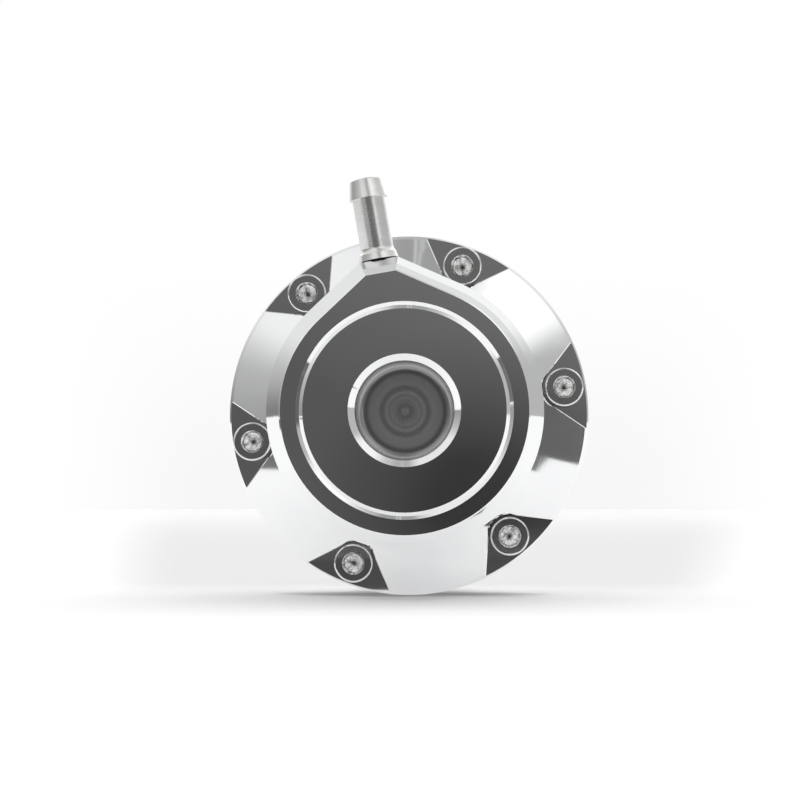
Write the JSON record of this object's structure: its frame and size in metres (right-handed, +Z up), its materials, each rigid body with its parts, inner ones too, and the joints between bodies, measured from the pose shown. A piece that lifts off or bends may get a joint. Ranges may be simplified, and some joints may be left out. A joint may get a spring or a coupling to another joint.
{
  "type": "wastegate actuator",
  "caption": "Round diaphragm actuator with a polished cap whose tall pear-shaped boss stands on a low flange, six cap screws in V pockets, a hose barb and a sprung push rod that ends in a flat eye.",
  "frame": {"origin": "centre of the housing's mounting face, on the rod's axis, between the two studs", "axes": "+Y along the push rod, away from the cap; +X along the line of the two studs; +Z up, the side on which the hose barb stands"},
  "size_m": [0.08, 0.151, 0.0905],
  "materials": {
    "polished_aluminium": "machined and polished to a near mirror",
    "turned_aluminium": "fine turned",
    "screw_steel": "satin stainless",
    "barb_metal": "fine turned stainless",
    "black_rubber": "matt",
    "diaphragm_rubber": "cloth-reinforced, matt",
    "bush_bronze": "sintered",
    "spring_steel": "oiled",
    "zinc_steel": "bright zinc plate",
    "rod_steel": "ground stainless"
  },
  "bodies": {
    "actuator_body": {"cap": "polished_aluminium", "cap_screws": "screw_steel", "hose_barb": "barb_metal", "port_seal": "black_rubber", "diaphragm": "diaphragm_rubber", "housing": "turned_aluminium", "rod_bush": "bush_bronze", "rod_wiper": "black_rubber", "retaining_ring": "spring_steel", "mounting_studs": "zinc_steel", "spring": "spring_steel", "spring_seat": "zinc_steel"},
    "rod_assembly": {"piston": "turned_aluminium", "retainer_plate": "zinc_steel", "sealing_washer": "zinc_steel", "piston_nut": "zinc_steel", "backing_washer": "zinc_steel", "rod": "rod_steel", "lock_nut": "zinc_steel", "rod_end": "rod_steel"}
  },
  "joints": [
    {"name": "rod_slide", "type": "slide", "parent": "actuator_body", "child": "rod_assembly", "axis": [0, 1, 0], "range_m": [0, 0.012], "stiffness_N_per_m": 8000, "springref_m": -0.012, "deforming": ["spring", "diaphragm"]}
  ]
}
